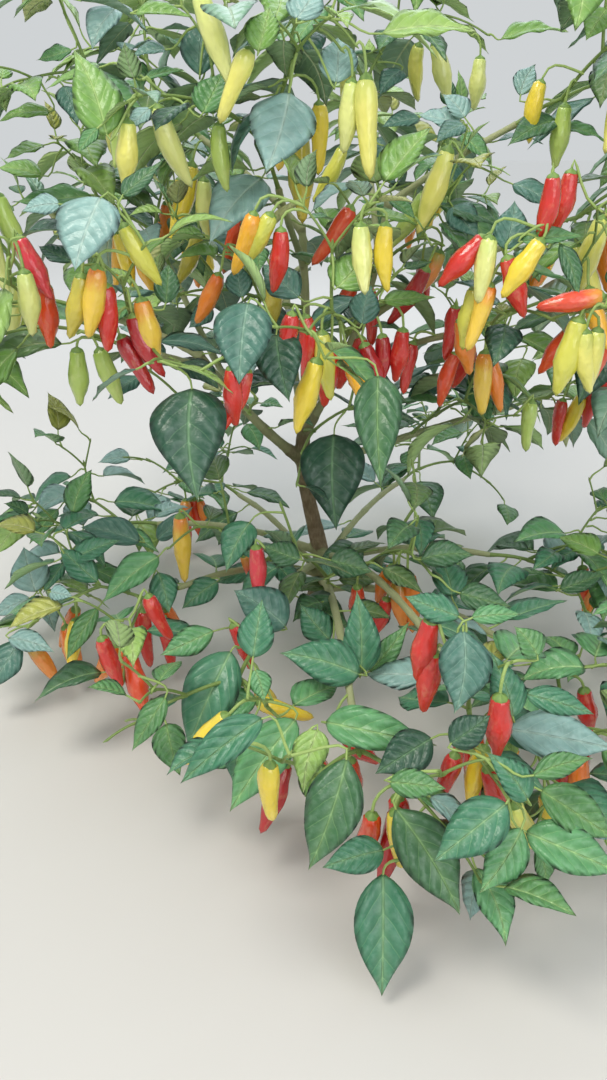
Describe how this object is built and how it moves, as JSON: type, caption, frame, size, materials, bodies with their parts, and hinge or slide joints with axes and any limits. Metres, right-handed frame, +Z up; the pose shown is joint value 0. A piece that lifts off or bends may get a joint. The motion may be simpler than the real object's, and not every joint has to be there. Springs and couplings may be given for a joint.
{
  "type": "chilli pepper plant",
  "caption": "Bushy chilli pepper plant: woody stem, forked boughs, folded oval leaves and hanging tapered fruit, rooted at a flat ground cut.",
  "frame": {"origin": "middle of the trunk's flat cut at ground level", "axes": "+Z up the stem, -Y toward the picture's viewer, +X to the viewer's right"},
  "size_m": [0.9951, 1.0712, 0.7633],
  "materials": {
    "stem_bark": "rough grey-brown woody bark with fine ridges",
    "bough_bark": "smooth green-brown bark, browner toward the stem",
    "crown_leaf": "satin green leaf with a pale midrib, on green twigs with green, yellow and red fruit",
    "shaded_leaf": "dark satin green leaf with a pale midrib",
    "low_leaf": "bright satin green leaf with a pale midrib, on green twigs with mostly red fruit"
  },
  "bodies": {
    "root": {"trunk": "stem_bark", "left_bough": "bough_bark", "middle_bough": "bough_bark", "upright_bough": "bough_bark", "right_bough": "bough_bark", "front_bough": "bough_bark", "back_bough": "bough_bark", "outer_left_bough": "bough_bark", "front_left_bough": "bough_bark", "back_left_bough": "bough_bark", "upper_left_bough": "bough_bark", "upper_front_bough": "bough_bark", "upper_right_bough": "bough_bark", "top_bough": "bough_bark", "middle_right_bough": "bough_bark", "front_right_bough": "bough_bark", "outer_back_bough": "bough_bark", "right_back_bough": "bough_bark", "low_left_bough": "bough_bark", "low_outer_left_bough": "bough_bark", "low_front_left_bough": "bough_bark", "low_front_bough": "bough_bark", "low_front_right_bough": "bough_bark", "low_right_front_bough": "bough_bark", "low_right_bough": "bough_bark", "low_back_left_bough": "bough_bark", "low_back_right_bough": "bough_bark", "outer_left_foliage": "crown_leaf", "front_left_foliage": "crown_leaf", "back_left_foliage": "crown_leaf", "upper_left_foliage": "crown_leaf", "upper_front_foliage": "crown_leaf", "upper_right_foliage": "crown_leaf", "top_foliage": "crown_leaf", "middle_right_foliage": "crown_leaf", "front_right_foliage": "crown_leaf", "front_foliage": "crown_leaf", "outer_back_foliage": "crown_leaf", "right_back_foliage": "crown_leaf", "right_foliage": "crown_leaf", "inner_right_foliage": "crown_leaf", "inner_foliage": "crown_leaf", "centre_foliage": "crown_leaf", "hanging_left_foliage": "shaded_leaf", "hanging_front_foliage": "shaded_leaf", "low_left_foliage": "low_leaf", "low_outer_left_foliage": "low_leaf", "low_front_left_foliage": "low_leaf", "low_front_foliage": "low_leaf", "low_front_right_foliage": "low_leaf", "low_right_front_foliage": "low_leaf", "low_right_foliage": "low_leaf", "low_back_left_foliage": "low_leaf", "low_back_right_foliage": "low_leaf", "low_inner_left_foliage": "low_leaf", "low_inner_front_foliage": "low_leaf", "low_inner_right_foliage": "low_leaf"}
  },
  "joints": []
}
